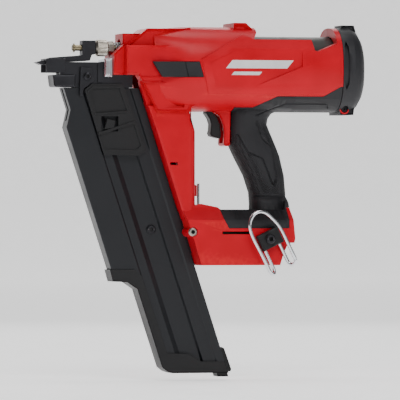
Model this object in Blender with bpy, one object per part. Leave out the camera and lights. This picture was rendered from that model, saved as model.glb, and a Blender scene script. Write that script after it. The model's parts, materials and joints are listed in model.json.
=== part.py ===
"""Cordless framing nailer with a sealed gas cylinder, bare tool, without its battery.

The frame: origin in the middle of the hand grip on the mid-plane, +X to the rear cap, +Z up
along the tool, +Y to the right side of somebody who holds it. Outlines are (x, z) in mm.
"""

import math

import bmesh
import bpy
from mathutils import Matrix, Vector

MM = 0.001
GAP = 0.3  # clearance between pieces that touch

# Drive line
AXIS_Z = 94.5
NAIL_HEAD_X = -142.0
BLADE_HALF = 1.7
BLADE_LOW, BLADE_HIGH, TOOTH_LOW = 91.0, 98.0, 86.9
PISTON_X, PISTON_LENGTH = 31.0, 12.0
CYLINDER_BORE, CYLINDER_OUT = 19.5, 22.0
TANK_OUT, TANK_WALL = 35.0, 3.0
TANK_FRONT, TANK_REAR = -58.0, 74.0
HEAD_FRONT, HEAD_REAR = -76.3, -62.4

# Body
BARREL_HEIGHT, BARREL_WIDTH = 44.5, 42.0
BARREL_FRONT, BARREL_REAR = -84.0, 77.0
TANK_ROOM = 36.0
SNOUT_HALF, BOSS_HALF = 30.5, 21.0
FOOT_HALF = 39.0
SKIN = 2.5  # rubber over the core
SPLIT = 0.15  # each half stops this far from the mid-plane

# Magazine
LEAN = 0.325  # x per -z: eighteen degrees
MAG_FRONT, MAG_REAR = -202.4, -111.8  # where its faces cross z = 0
MAG_HALF = 11.0
MAG_TOP = 74.5
CHANNEL_HALF, HEAD_HALF = 2.5, 4.7

# Lifter and motor, all on axes along Y
LIFTER = (-103.0, 70.0)
PIN_CIRCLE, PIN_RADIUS, PIN_PITCHES, PINS = 18.4, 2.2, 10, 9
PIN_PITCH = math.tau * PIN_CIRCLE / PIN_PITCHES
GEAR_MODULE, LIFTER_TEETH, OUTPUT_TEETH = 1.25, 36, 24
CENTRES = GEAR_MODULE * (LIFTER_TEETH + OUTPUT_TEETH) / 2
MOTOR = (LIFTER[0] + 5.5, LIFTER[1] - math.sqrt(CENTRES**2 - 5.5**2))
MOTOR_RADIUS = 14.6

# Contact arm and depth setting
ROD_Z = 116.2
ROD_RADIUS = 3.2
NOSE_FRONT, NOSE_REAR, NOSE_HALF = -219.5, -131.0, 11.0

# Pivots and screws, (x, z)
TRIGGER_PIVOT = (-58.0, 54.0)
FOOT_BOLT = (-84.7, -75.2)
HOOK_PIVOT = (-3.6, -82.6)
HOOK_TILT = math.radians(26)
NAIL_STOP_PIVOT = (-170.5, 34.5)
LATCH_PIVOT = (-44.6, -199.0)
CAP_SCREW = (84.0, 53.2)
SHELL_SCREWS = ((-146.0, 95.0, 30.5), (-84.0, -67.0, 39.0), (17.0, -78.0, 39.0))

FINISHES = {
    "red": ((0.62, 0.012, 0.02), 0.38, 0.0),
    "rubber": ((0.032, 0.032, 0.036), 0.75, 0.0),
    "black": ((0.022, 0.023, 0.026), 0.5, 0.0),
    "anodised": ((0.03, 0.033, 0.037), 0.42, 0.6),
    "steel": ((0.2, 0.2, 0.21), 0.38, 1.0),
    "dark_steel": ((0.07, 0.07, 0.075), 0.42, 0.9),
    "nickel": ((0.5, 0.47, 0.42), 0.3, 1.0),
    "silver": ((0.7, 0.72, 0.75), 0.3, 1.0),
    "grey": ((0.2, 0.2, 0.19), 0.4, 0.5),
    "chrome": ((0.8, 0.82, 0.84), 0.12, 1.0),
    "brass": ((0.6, 0.45, 0.22), 0.3, 1.0),
    "copper": ((0.6, 0.25, 0.12), 0.35, 1.0),
    "board": ((0.02, 0.12, 0.05), 0.5, 0.0),
    "amber": ((0.5, 0.28, 0.03), 0.5, 0.0),
}


def clear_scene():
    for old in list(bpy.data.objects):
        bpy.data.objects.remove(old, do_unlink=True)


# ---------------------------------------------------------------- outlines

def rounded(corners, steps=3):
    """An outline whose corners given as (x, z, radius) become arcs."""
    out = []
    count = len(corners)
    for i, corner in enumerate(corners):
        here = Vector(corner[:2])
        if len(corner) < 3:
            out.append(tuple(here))
            continue
        before = (Vector(corners[i - 1][:2]) - here).normalized()
        after = (Vector(corners[(i + 1) % count][:2]) - here).normalized()
        half = before.angle(after) / 2
        reach = corner[2] / math.tan(half)
        centre = here + (before + after).normalized() * (corner[2] / math.sin(half))
        start = here + before * reach - centre
        sweep = start.angle_signed(here + after * reach - centre)
        for k in range(steps + 1):
            turn = Matrix.Rotation(-sweep * k / steps, 2)
            out.append(tuple(centre + turn @ start))
    return out


def area(outline):
    return sum(a[0] * b[1] - b[0] * a[1] for a, b in zip(outline, outline[1:] + outline[:1])) / 2


def inset(outline, by):
    """The outline moved inwards by a distance, corner by corner."""
    turn = 1 if area(outline) > 0 else -1
    out = []
    for i, point in enumerate(outline):
        here = Vector(point)
        a = (here - Vector(outline[i - 1])).normalized()
        b = (Vector(outline[(i + 1) % len(outline)]) - here).normalized()
        normal_a = Vector((-a.y, a.x)) * turn
        normal_b = Vector((-b.y, b.x)) * turn
        middle = normal_a + normal_b
        out.append(tuple(here + middle * (by / max(0.35, middle.dot(normal_a)))))
    return out


def oval(half_y, half_z, count=28, power=2.6):
    """A superellipse as (y, z) about the drive line."""
    points = []
    for k in range(count):
        c, s = math.cos(math.tau * k / count), math.sin(math.tau * k / count)
        y = math.copysign(abs(c) ** (2 / power), c) * half_y
        z = math.copysign(abs(s) ** (2 / power), s) * half_z
        points.append((y, AXIS_Z + z))
    return points


def circle(radius, count, centre=(0.0, 0.0), start=0.0):
    return [
        (
            centre[0] + radius * math.cos(start + math.tau * k / count),
            centre[1] + radius * math.sin(start + math.tau * k / count),
        )
        for k in range(count)
    ]


# ---------------------------------------------------------------- solids

def flat(face):
    """Whether all of a face's corners lie in its plane."""
    corner = face.verts[0].co
    return all(abs((v.co - corner).dot(face.normal)) < 1e-7 for v in face.verts)


def solid(name, rings, closed=False):
    """A closed mesh through rings of points with equal counts; closed joins last to first."""
    bm = bmesh.new()
    made = [[bm.verts.new(Vector(p) * MM) for p in ring] for ring in rings]
    count = len(made[0])
    pairs = list(zip(made, made[1:] + made[:1])) if closed else list(zip(made, made[1:]))
    for low, high in pairs:
        for i in range(count):
            j = (i + 1) % count
            bm.faces.new((low[i], low[j], high[j], high[i]))
    if not closed:
        bm.faces.new(made[0])
        bm.faces.new(made[-1])
    bmesh.ops.recalc_face_normals(bm, faces=bm.faces)
    bent = [f for f in bm.faces if not flat(f)]
    bmesh.ops.triangulate(bm, faces=bent, quad_method="FIXED")
    mesh = bpy.data.meshes.new(name)
    bm.to_mesh(mesh)
    bm.free()
    made_object = bpy.data.objects.new(name, mesh)
    bpy.context.collection.objects.link(made_object)
    return made_object


def prism(name, outline, y0, y1):
    return solid(name, [[(x, y, z) for x, z in outline] for y in (y0, y1)])


def soft_prism(name, outline, half, edge, steps=2):
    """A prism across the mid-plane whose two long rims are rounded or, at one step, cut."""
    rings = []
    for side in (-1, 1):
        for k in range(steps + 1):
            a = math.pi / 2 * (k if side < 0 else steps - k) / steps
            y = side * (half - edge * (1 - math.sin(a)))
            shape = inset(outline, edge * (1 - math.cos(math.pi / 2 - a)))
            rings.append([(x, y, z) for x, z in shape])
    return solid(name, rings)


def along_x(name, sections):
    """A loft through (x, [(y, z), ...]) sections."""
    return solid(name, [[(x, y, z) for y, z in ring] for x, ring in sections])


def box(name, x, y, z):
    return prism(name, [(x[0], z[0]), (x[1], z[0]), (x[1], z[1]), (x[0], z[1])], *y)


def turned(name, profile, centre, axis="X", count=20):
    """A solid of revolution; the profile is a closed loop of (along, radius), all radii > 0."""
    rings = []
    for along, radius in profile:
        ring = []
        for a, b in circle(radius, count, start=math.pi / count):
            if axis == "X":
                ring.append((centre[0] + along, centre[1] + a, centre[2] + b))
            else:
                ring.append((centre[0] + a, centre[1] + along, centre[2] + b))
        rings.append(ring)
    return solid(name, rings)


def revolved(name, loop, centre, axis="X", count=20):
    """A ring turned from a closed loop of (along, radius) that stays off the axis."""
    rings = []
    for a, b in circle(1.0, count, start=math.pi / count):
        if axis == "X":
            ring = [(centre[0] + u, centre[1] + a * r, centre[2] + b * r) for u, r in loop]
        else:
            ring = [(centre[0] + a * r, centre[1] + u, centre[2] + b * r) for u, r in loop]
        rings.append(ring)
    return solid(name, rings, closed=True)


def tube(name, ends, inner, outer, centre, axis="X", count=20):
    loop = [(ends[0], inner), (ends[0], outer), (ends[1], outer), (ends[1], inner)]
    return revolved(name, loop, centre, axis, count)


def pin_tool(name, centre, radius, ends, count=12):
    """A plain round bar along Y at (x, z)."""
    return turned(name, [(ends[0], radius), (ends[1], radius)], (centre[0], 0, centre[1]), "Y",
                  count)


def rectangle(x0, x1, half):
    return [(x0, -half), (x1, -half), (x1, half), (x0, half)]


def leaning(name, section, z0, z1):
    """A bar of (x, y) section along the magazine; x counts where it crosses z = 0."""
    return solid(name, [[(x - LEAN * z, y, z) for x, y in section] for z in (z0, z1)])


def wire(name, points, radius, sides=8):
    """A round rod along a path of 3-D points."""
    path = [Vector(p) for p in points]
    rings = []
    side = None
    for i, point in enumerate(path):
        ahead = path[min(i + 1, len(path) - 1)] - path[max(i - 1, 0)]
        ahead.normalize()
        if side is None:
            side = ahead.orthogonal().normalized()
        side = (side - ahead * side.dot(ahead)).normalized()
        other = ahead.cross(side)
        rings.append([tuple(point + side * a + other * b) for a, b in circle(radius, sides)])
    return solid(name, rings)


def helix(centre, radius, pitch, turns, per_turn=8, axis="X"):
    points = []
    for k in range(int(turns * per_turn) + 1):
        a = math.tau * k / per_turn
        along = pitch * k / per_turn
        u, v = radius * math.cos(a), radius * math.sin(a)
        offset = (along, u, v) if axis == "X" else (u, along, v)
        points.append(tuple(centre[i] + offset[i] for i in range(3)))
    return points


def is_closed(mesh):
    bm = bmesh.new()
    bm.from_mesh(mesh)
    good = len(bm.faces) > 3 and all(len(e.link_faces) == 2 for e in bm.edges)
    bm.free()
    return good


def combine(target, operation, *tools):
    """Applies booleans and removes the tools; MANIFOLD takes over where EXACT leaves a gap."""
    for tool in tools:
        modifier = target.modifiers.new(operation.lower(), "BOOLEAN")
        modifier.operation = operation
        modifier.object = tool
        for solver in ("EXACT", "MANIFOLD"):
            modifier.solver = solver
            graph = bpy.context.evaluated_depsgraph_get()
            done = bpy.data.meshes.new_from_object(target.evaluated_get(graph))
            if is_closed(done):
                break
        target.modifiers.clear()
        old, target.data = target.data, done
        bpy.data.meshes.remove(old)
        bpy.data.objects.remove(tool, do_unlink=True)
    return target


def join(target, *tools):
    return combine(target, "UNION", *tools)


def cut(target, *tools):
    return combine(target, "DIFFERENCE", *tools)


def keep(target, *tools):
    return combine(target, "INTERSECT", *tools)


def duplicate(source, name):
    made = bpy.data.objects.new(name, source.data.copy())
    bpy.context.collection.objects.link(made)
    return made


def dress(made, finish, pivot=None, smooth=30):
    """Gives a piece its own material, its origin and smooth round faces."""
    colour, roughness, metallic = FINISHES[finish]
    material = bpy.data.materials.new(made.name)
    material.use_nodes = True
    shader = material.node_tree.nodes["Principled BSDF"]
    shader.inputs["Base Color"].default_value = (*colour, 1)
    shader.inputs["Roughness"].default_value = roughness
    shader.inputs["Metallic"].default_value = metallic
    made.data.materials.clear()
    made.data.materials.append(material)
    if pivot:
        made.data.transform(Matrix.Translation(-Vector(pivot) * MM))
        made.location = Vector(pivot) * MM
    made.data.shade_smooth()
    made.data.set_sharp_from_angle(angle=math.radians(smooth))
    return made


def screw(name, centre, radius, depth, finish, side=-1, socket=True):
    """A cap screw along Y whose head looks to the side; centre is the middle of its top."""
    inward = -side * depth
    profile = [(0, radius * 0.86), (-side * radius * 0.14, radius), (inward, radius)]
    made = turned(name, profile, centre, "Y", 12)
    if socket:
        hexagon = circle(radius * 0.48, 6, (centre[0], centre[2]))
        ends = sorted((centre[1] + side, centre[1] - side * radius * 0.6))
        cut(made, prism("socket", hexagon, *ends))
    return dress(made, finish)


def gear_outline(teeth, module, centre, phase, slack=0.25):
    """Spur teeth as trapezoids with involute-like tips; a tooth stands at the phase angle."""
    pitch_radius = teeth * module / 2
    points = []
    tooth = math.tau / teeth
    half = tooth / 4 - slack / pitch_radius / 2
    flank = (
        (-1.45, pitch_radius - 1.2 * module),
        (-0.52, pitch_radius + 0.85 * module),
        (0.52, pitch_radius + 0.85 * module),
        (1.45, pitch_radius - 1.2 * module),
    )
    for k in range(teeth):
        for share, radius in flank:
            a = phase + k * tooth + half * share
            points.append((centre[0] + radius * math.cos(a), centre[1] + radius * math.sin(a)))
    return points


# ---------------------------------------------------------------- body shape

# The handle's level sections: height, front, rear, half-width
HANDLE = [
    (59.0, -37.0, 22.0, 17.5), (52.0, -37.0, 16.0, 17.5), (48.0, -37.0, 8.5, 17.3),
    (43.0, -37.0, 5.0, 17.0), (37.0, -37.0, 4.0, 16.8), (30.0, -36.9, 6.8, 16.8),
    (16.0, -36.6, 13.0, 17.2), (4.0, -31.0, 17.8, 17.5), (-16.5, -20.0, 22.6, 17.5),
    (-34.0, -14.2, 24.2, 17.0), (-46.0, -13.2, 24.6, 18.0), (-66.0, -13.2, 24.6, 23.0),
]
FOOT = [
    (-94.0, -50.5), (-72.0, -46.0), (-55.0, -49.5), (-52.0, -52.0), (17.0, -52.0), (19.0, -43.0),
    (22.0, -44.0), (25.5, -82.0), (24.6, -86.6), (18.0, -86.8), (13.0, -97.2), (9.2, -109.9),
    (-75.3, -109.9),
]
FOOT_HEEL = [(19.0, -43.0), (22.0, -44.0)]  # its raised rear corner is solid
BAND = [
    (-17.0, 54.8), (7.1, 66.3), (56.9, 66.3), (74.4, 76.4), (80.0, 76.4), (80.0, 40.0),
    (6.0, 40.0), (-30.0, 50.0),
]
PANEL = [
    (-29.0, 131.0), (-76.5, 103.5), (-68.0, 67.8), (55.5, 67.8), (73.0, 77.7), (73.0, 121.5),
    (49.0, 113.0), (46.0, 114.4), (43.8, 125.4), (-19.0, 125.4),
]
PANEL_RECESS = [
    (-24.0, 119.5), (-67.0, 101.5), (-60.5, 74.6), (-22.0, 74.6), (32.5, 97.0), (32.5, 119.5),
]


def rear_plane(z, offset=0.0):
    """Where the magazine's rear face is at a height, plus an offset."""
    return MAG_REAR - LEAN * z + offset


def barrel(shrink=0.0):
    full = oval(BARREL_WIDTH - shrink, BARREL_HEIGHT - shrink)
    throat = oval(26.0 - shrink, 41.7 - shrink, power=3.0)
    return along_x(
        "barrel",
        [(-122.0, throat), (BARREL_FRONT - 3, full), (BARREL_REAR, full)],
    )


def handle(shrink=0.0):
    """A loft through level rounded sections."""
    rings = []
    for z, front, rear, half in HANDLE:
        middle, reach = (front + rear) / 2, (rear - front) / 2 - shrink
        ring = oval(half - shrink, reach, 24)
        rings.append([(middle + along - AXIS_Z, y, z) for y, along in ring])
    return solid("handle", rings)


def foot(shrink=0.0):
    half = FOOT_HALF - shrink
    section = [(-half, -120.0), (half, -120.0), (half, -62.7), (27.5, -52.0 - shrink),
               (22.0, -40.0), (-22.0, -40.0), (-27.5, -52.0 - shrink), (-half, -62.7)]
    made = along_x("foot", [(-110.0, section), (40.0, section)])
    outline = [p for p in FOOT if not (shrink and p in FOOT_HEEL)]
    return keep(made, prism("foot_outline", inset(outline, shrink), -50, 50))


def motor_housing():
    low, high, rear = -62.0, 56.0, -77.7
    rings = []
    for z, back, half in ((low, rear, 29.0), (30.0, rear, 29.0), (40.0, rear - 2.5, 27.0),
                          (high, rear - 5.0, 25.0)):
        front = rear_plane(z, 0.6)
        ring = rounded([(front, -half, 3.0), (back, -half, 10.0), (back, half, 10.0),
                        (front, half, 3.0)])
        rings.append([(x, y, z) for x, y in ring])
    return solid("motor_housing", rings)


def snout():
    lower = soft_prism("snout_lower", [
        (-153.5, 88.0), (-140.6, 88.0), (-135.6, 79.9), (-80.0, 79.9), (-80.0, 118.5),
        (-153.5, 118.5)], SNOUT_HALF, 2.0, 1)
    boss = soft_prism("boss", [
        (-164.5, 88.0), (-150.0, 88.0), (-150.0, 121.0), (-154.5, 119.5), (-164.5, 109.7)],
        BOSS_HALF, 2.0, 1)
    front_block = soft_prism("front_block", [
        (-154.6, 104.0), (-120.0, 104.0), (-120.0, 131.0), (-154.6, 131.0)], 17.0, 1.5, 1)
    ridge = soft_prism("ridge", [
        (-152.0, 117.0), (-90.0, 117.0), (-83.0, 137.5), (-92.0, 136.3), (-129.4, 136.3)],
        22.5, 3.0, 1)
    throat = prism("throat", [
        (rear_plane(40, 0.6), 40.0), (-82.0, 40.0), (-82.0, 90.0), (rear_plane(79.9, 0.6), 90.0),
        (rear_plane(79.9, 0.6), 79.9)], -20.5, 20.5)
    under = soft_prism("under", [
        (-138.0, 86.0), (-135.6, 79.9), (-120.6, 50.4), (-88.0, 49.8), (-80.0, 58.0),
        (-80.0, 86.0)], 29.5, 2.0, 1)
    for side in (-1, 1):
        scoop = [(x, side * y, z) for x, y, z in (
            (-126.0, 29.0, 77.0), (-91.0, 22.0, 77.0), (-91.0, 22.0, 54.0), (-113.5, 27.5, 54.0))]
        outer = [(x, side * 34.0, z) for x, _, z in scoop]
        cut(under, solid("scoop", [scoop, outer]))
    return join(lower, boss, front_block, ridge, throat, under)


def top_rib():
    return soft_prism("rib", [
        (-37.5, 130.0), (-36.3, 142.9), (-23.3, 142.9), (-13.1, 133.4), (-17.0, 126.5)],
        22.0, 4.0, 1)


def trigger_frame():
    return soft_prism("trigger_frame", rounded([
        (-60.0, 52.0), (-49.2, 45.8), (-45.2, 37.0), (-43.9, 28.0), (-45.0, 15.0, 2.5),
        (-40.0, 14.0, 2.5), (-36.0, 18.0), (-36.0, 54.0)], 2), 12.0, 2.0, 1)


def relief():
    """The raised frame round the side panel."""
    proud = along_x("proud", [
        (-90.0, oval(BARREL_WIDTH + 1.2, BARREL_HEIGHT + 0.6)),
        (BARREL_REAR, oval(BARREL_WIDTH + 1.2, BARREL_HEIGHT + 0.6))])
    return keep(proud, prism("panel", PANEL, -50, 50))


def body():
    made = join(barrel(), relief(), top_rib(), snout(), motor_housing(), foot())
    recess = [prism("recess", PANEL_RECESS, *ys) for ys in ((-50, -41.2), (41.2, 50))]
    cut(made, *recess)
    window = [(-18.0, 125.4), (43.8, 125.4), (46.0, 114.4), (49.0, 113.0), (71.6, 122.0),
              (71.6, 150.0), (-11.5, 150.0), (-13.1, 133.4)]
    cut(made, prism("window", window, -60, 60))
    key_clip = prism("key_clip", [(-79.0, -52.0), (-71.3, -52.0), (-71.3, -27.0), (-79.0, -23.0)],
                     -2.6, 2.6)
    return join(made, handle(), trigger_frame(), key_clip)


def rubber_zone(by):
    """What the soft skin covers: the handle, the band under the barrel and the foot's shoulders."""
    grip = [(-37.0, 54.8), (-17.0, 54.8), (20.0, 54.8), (30.0, 30.0), (30.0, -50.0),
            (19.2, -50.0), (19.2, -71.6), (-45.9, -71.6), (-51.3, -62.0), (-53.6, -48.0),
            (-25.0, -48.0), (-38.0, 8.0)]
    zone = prism("zone", inset(grip, by), -60, 60)
    return join(zone, prism("band_zone", inset(BAND, by), -60, 60))


def core(shrink):
    """The hard core under the rubber."""
    return join(barrel(shrink), handle(shrink), foot(shrink))


def cavities():
    """Everything hollow inside the shells, each tool open to the mid-plane."""
    tools = [
        turned("tank_room", [(HEAD_FRONT - GAP, TANK_ROOM), (90.0, TANK_ROOM)],
               (0, 0, AXIS_Z), "X", 28),
        box("nose_room", (-180, -126), (-12.4, 12.4), (60, 102.4)),
        box("lifter_room", (-127.6, -76), (-18.3, 18.3), (56, 100)),
        prism("lifter_low", [(rear_plane(44, 3.2), 44), (-81.5, 44), (-81.5, 60),
                             (rear_plane(60, 3.2), 60)], -18.3, 18.3),
        prism("motor_room", [(rear_plane(15, 3.4), 15), (-80.4, 15), (-80.4, 36), (-83, 50),
                             (rear_plane(50, 3.4), 50)], -24, 24),
        prism("duct", [(rear_plane(-40, 3.4), -40), (-81, -40), (-81, 16), (rear_plane(16, 3.4), 16)],
              -20, 20),
        box("board_room", (-70, 12), (-30, 30), (-79, -60)),
        box("duct_foot", (-92, -68), (-12, 12), (-66, -38)),
        box("bay", (-71, 40), (-34.5, 34.5), (-125, -84)),
        handle(7.0),
        box("trigger_slot", (-66.0, -28.5), (-7.6, 7.6), (17.5, 58.6)),
        leaning("bracket_notch", rectangle(-113.0, -102.7, 12.4), -98, -52),
    ]
    return tools


def rod_room():
    return [turned("wheel_pocket", [(-172, 9.4), (-138, 9.4)], (0, 0, ROD_Z), "X", 20),
            turned("rod_bore", [(-145, 3.9), (-112, 3.9)], (0, 0, ROD_Z), "X", 16)]


def slots():
    made = []
    for side in (-1, 1):
        ys = sorted((side * 15.0, side * 60.0))
        made.append(box("foot_slot", (-53.0, -21.0), ys, (-77.6, -74.8)))
        made.append(box("vent", (-106.5, -98.5), ys, (-5.6, -3.0)))
        pad = inset(PAD, -GAP)
        made.append(pad_block("pad_pocket", pad, side, -GAP, 12.0))
    made.append(pin_tool("bolt_hole", FOOT_BOLT, 4.9, (-60, 60)))
    made.append(box("key_hole", (-70.9, -67.1), (-1.9, 1.9), (-59, -30)))
    made.append(pin_tool("trigger_pin_hole", TRIGGER_PIVOT, 2.2, (-11.4, 11.4)))
    made.append(pin_tool("hook_hole", HOOK_PIVOT, 3.2, (-45, -33)))
    for x, z, face in SHELL_SCREWS:
        made.append(pin_tool("shell_screw_hole", (x, z), 3.5, (face - 5.0, face + 5)))
    return made


PAD = [(-126.0, 101.6), (-116.0, 85.6), (-73.8, 85.6), (-78.3, 101.6)]


def pad_block(name, outline, side, under=0.0, extra=0.0):
    """A block over the snout and barrel that grows thicker towards the barrel."""
    inner, outer = [], []
    for x, z in outline:
        share = (x + 126.0) / 48.0
        inner.append((x, side * (29.0 + 9.3 * share + under), z))
        outer.append((x, side * (33.4 + 10.2 * min(share, 0.85) + extra), z))
    return solid(name, [inner, outer])


def shells():
    whole = body()
    cut(whole, *cavities(), *rod_room(), *slots())
    cutter = rubber_zone(0.0)
    cut(cutter, core(SKIN + GAP))
    cut(whole, cutter)
    for name, low, high in (("housing_left", -80, -SPLIT), ("housing_right", SPLIT, 80)):
        half = duplicate(whole, name)
        keep(half, box("half", (-200, 150), (low, high), (-160, 200)))
        dress(half, "red")
    bpy.data.objects.remove(whole, do_unlink=True)


def grips():
    skin = join(barrel(), handle(), foot())
    cut(skin, core(SKIN))
    keep(skin, rubber_zone(GAP))
    cut(skin, box("rear_notch", (76.6, 100), (-60, 60), (-20, 90)),
        box("trigger_slot", (-66.0, -30.0), (-7.6, 7.6), (17.5, 58.6)))
    for name, low, high in (("grip_left", -80, -SPLIT), ("grip_right", SPLIT, 80)):
        half = duplicate(skin, name)
        keep(half, box("half", (-200, 150), (low, high), (-160, 200)))
        dress(half, "rubber")
    bpy.data.objects.remove(skin, do_unlink=True)


# ---------------------------------------------------------------- rear cap and pads

def rear_cap():
    made = along_x("rear_cap", [
        (77.3, oval(42.5, 44.5)), (90.0, oval(43.0, 44.8)), (97.0, oval(39.5, 41.5)),
        (102.0, oval(32.0, 34.0)), (104.8, oval(25.0, 27.0))])
    join(made, soft_prism("top_block", [
        (82.8, 128.0), (82.8, 141.6), (96.5, 141.6), (98.5, 135.5), (98.5, 128.0)], 13.0, 2.0, 1))
    join(made, soft_prism("boss", [
        (79.3, 47.3), (93.8, 47.3), (95.5, 60.0), (79.3, 60.0)], 21.0, 2.0, 1))
    cut(made, along_x("room", [
        (70.0, oval(37.5, 39.5)), (91.0, oval(37.5, 39.5)), (98.0, oval(26.0, 28.0))]))
    slot = [(79.5, 118.0), (81.2, 124.0), (83.0, 118.0), (83.0, 79.5), (81.2, 73.5), (79.5, 79.5)]
    for side in (-1, 1):
        cut(made, prism("slot", slot, *sorted((side * 41.2, side * 50))))
        cut(made, pin_tool("screw_hole", CAP_SCREW, 3.6, sorted((side * 16.5, side * 30))))
    dress(made, "black")
    for side, name in ((-1, "cap_screw_left"), (1, "cap_screw_right")):
        screw(name, (CAP_SCREW[0], side * 20.0, CAP_SCREW[1]), 3.2, 3.2, "dark_steel", side)


def pads():
    for side, name in ((-1, "pad_left"), (1, "pad_right")):
        dress(pad_block(name, PAD, side), "rubber")


def shell_screws():
    for i, (x, z, face) in enumerate(SHELL_SCREWS):
        screw(f"shell_screw_{i + 1}", (x, face - 0.6, z), 3.1, 4.0, "dark_steel", 1)


# ---------------------------------------------------------------- gas spring and driver

def drive_line():
    centre = (0, 0, AXIS_Z)
    dress(revolved("cylinder_head", [
        (HEAD_FRONT, 12.0), (HEAD_FRONT, 34.6), (HEAD_REAR, 34.6), (HEAD_REAR, 19.4),
        (HEAD_FRONT + 1.3, 19.4), (HEAD_FRONT + 1.3, 12.0)], centre), "steel")
    dress(tube("bumper", (HEAD_FRONT + 1.6, -64.6), 11.0, 19.0, centre), "amber")
    flange = HEAD_REAR + GAP
    dress(revolved("drive_cylinder", [
        (flange, CYLINDER_BORE), (flange, 34.6), (TANK_FRONT - GAP, 34.6),
        (TANK_FRONT - GAP, CYLINDER_OUT), (48.0, CYLINDER_OUT), (48.0, CYLINDER_BORE)],
        centre), "steel")
    inside = TANK_OUT - TANK_WALL
    dress(revolved("gas_cylinder", [
        (TANK_FRONT, inside), (TANK_FRONT, TANK_OUT), (TANK_REAR - 3, TANK_OUT),
        (TANK_REAR, inside), (TANK_REAR, 4.2), (TANK_REAR - 4, 4.2), (TANK_REAR - 4, inside - 4),
        (TANK_REAR - 8, inside)], centre, count=28), "grey")
    dress(turned("fill_valve", [
        (TANK_REAR - 7, 3.0), (TANK_REAR - 6.5, 3.9), (TANK_REAR + GAP, 3.9),
        (TANK_REAR + GAP, 6.0), (TANK_REAR + 4, 6.0), (TANK_REAR + 5, 4.5)], centre, count=16),
        "brass")
    dress(turned("piston", [
        (PISTON_X, 19.0), (PISTON_X + 3, 19.0), (PISTON_X + 3, 17.3), (PISTON_X + 6, 17.3),
        (PISTON_X + 6, 19.0), (PISTON_X + PISTON_LENGTH, 19.0)], centre), "steel")
    dress(tube("piston_seal", (PISTON_X + 3.3, PISTON_X + 5.7), 17.6, 19.25, centre), "rubber")
    driver_blade()


def driver_blade():
    """The bar that strikes the nail; the lifter's pins push the teeth under it back."""
    outline = [(PISTON_X - GAP, BLADE_HIGH), (NAIL_HEAD_X, BLADE_HIGH),
               (NAIL_HEAD_X, BLADE_LOW + 1.0), (NAIL_HEAD_X + 1.0, BLADE_LOW)]
    half = (PIN_PITCH - 2 * PIN_RADIUS - 2.1) / 2
    for k in range(PINS):
        x = LIFTER[0] + (k + 0.5) * PIN_PITCH
        outline += [(x - half, BLADE_LOW), (x - half + 0.5, TOOTH_LOW),
                    (x + half - 0.5, TOOTH_LOW), (x + half, BLADE_LOW)]
    outline.append((PISTON_X - GAP, BLADE_LOW))
    dress(prism("driver_blade", outline, -BLADE_HALF, BLADE_HALF), "steel")


# ---------------------------------------------------------------- motor, gears and lifter

def lifter():
    centre = (LIFTER[0], 0, LIFTER[1])
    wheel = tube("lifter_wheel", (-3.4, 3.4), 4.2, 9.0, centre, "Y", 16)
    for ends in ((-7.0, -3.2), (3.2, 6.9)):
        join(wheel, tube("disc", ends, 4.2, 22.0, centre, "Y", 16))
    for k in range(PINS):
        a = math.tau * k / PIN_PITCHES
        at = (LIFTER[0] + PIN_CIRCLE * math.sin(a), LIFTER[1] + PIN_CIRCLE * math.cos(a))
        join(wheel, pin_tool("pin", at, PIN_RADIUS, (-3.6, 3.6), 8))
    dress(wheel, "steel", pivot=centre)
    mesh_angle = math.atan2(MOTOR[1] - LIFTER[1], MOTOR[0] - LIFTER[0])
    teeth = gear_outline(LIFTER_TEETH, GEAR_MODULE, LIFTER, mesh_angle)
    gear = prism("lifter_gear", teeth, 7.5, 13.0)
    join(gear, pin_tool("shaft", LIFTER, 3.9, (-17.5, 17.5)))
    dress(gear, "steel", pivot=centre)
    phase = mesh_angle + math.pi + math.pi / OUTPUT_TEETH
    pinion = prism("output_gear", gear_outline(OUTPUT_TEETH, GEAR_MODULE, MOTOR, phase), 7.5, 13.0)
    join(pinion, pin_tool("shaft", MOTOR, 3.0, (6.8, 17.0)))
    dress(pinion, "steel", pivot=(MOTOR[0], 0, MOTOR[1]))
    for name, ends in (("lifter_bearing_left", (-17.9, -13.9)),
                       ("lifter_bearing_right", (13.6, 17.6))):
        dress(tube(name, ends, 4.2, 9.0, centre, "Y", 16), "silver")


def motor():
    centre = (MOTOR[0], 0, MOTOR[1])
    dress(tube("gearbox_case", (0.5, 6.4), 3.5, 14.5, centre, "Y"), "steel")
    dress(tube("motor_stator", (-21.0, -0.3), 9.6, MOTOR_RADIUS, centre, "Y"), "copper")
    dress(turned("motor_rotor", [
        (-23.6, 2.5), (-20.0, 2.5), (-20.0, 9.0), (-1.5, 9.0), (-1.5, 2.5), (3.0, 2.5)],
        centre, "Y", 16), "steel", pivot=centre)
    blades = prism("cooling_fan", gear_outline(9, 2.6, MOTOR, 0.0), -23.6, -21.3)
    cut(blades, pin_tool("bore", MOTOR, 2.8, (-30, -15)))
    dress(blades, "black", pivot=centre)


def electrics():
    board = box("control_board", (-62, 4), (-24, 24), (-77.5, -75.8))
    parts = ((-50, -8, -12, 12, -66), (-3, 2, -8, 8, -70))
    for x0, x1, y0, y1, top in parts:
        join(board, box("block", (x0, x1), (y0, y1), (-76.5, top)))
    dress(board, "board")
    terminal = box("battery_terminal", (-34, 6), (-15, 15), (-94, -84.3))
    for y in (-9, 9):
        cut(terminal, box("slot", (-20, 10), (y - 1.5, y + 1.5), (-99, -87)))
    dress(terminal, "black")
    switch = box("trigger_switch", (-26.5, -11), (-6.3, 6.3), (27, 43))
    join(switch, turned("plunger", [(-42.6, 2.2), (-25, 2.2)], (0, 0, 33), "X", 12))
    dress(switch, "black")


# ---------------------------------------------------------------- trigger

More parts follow.
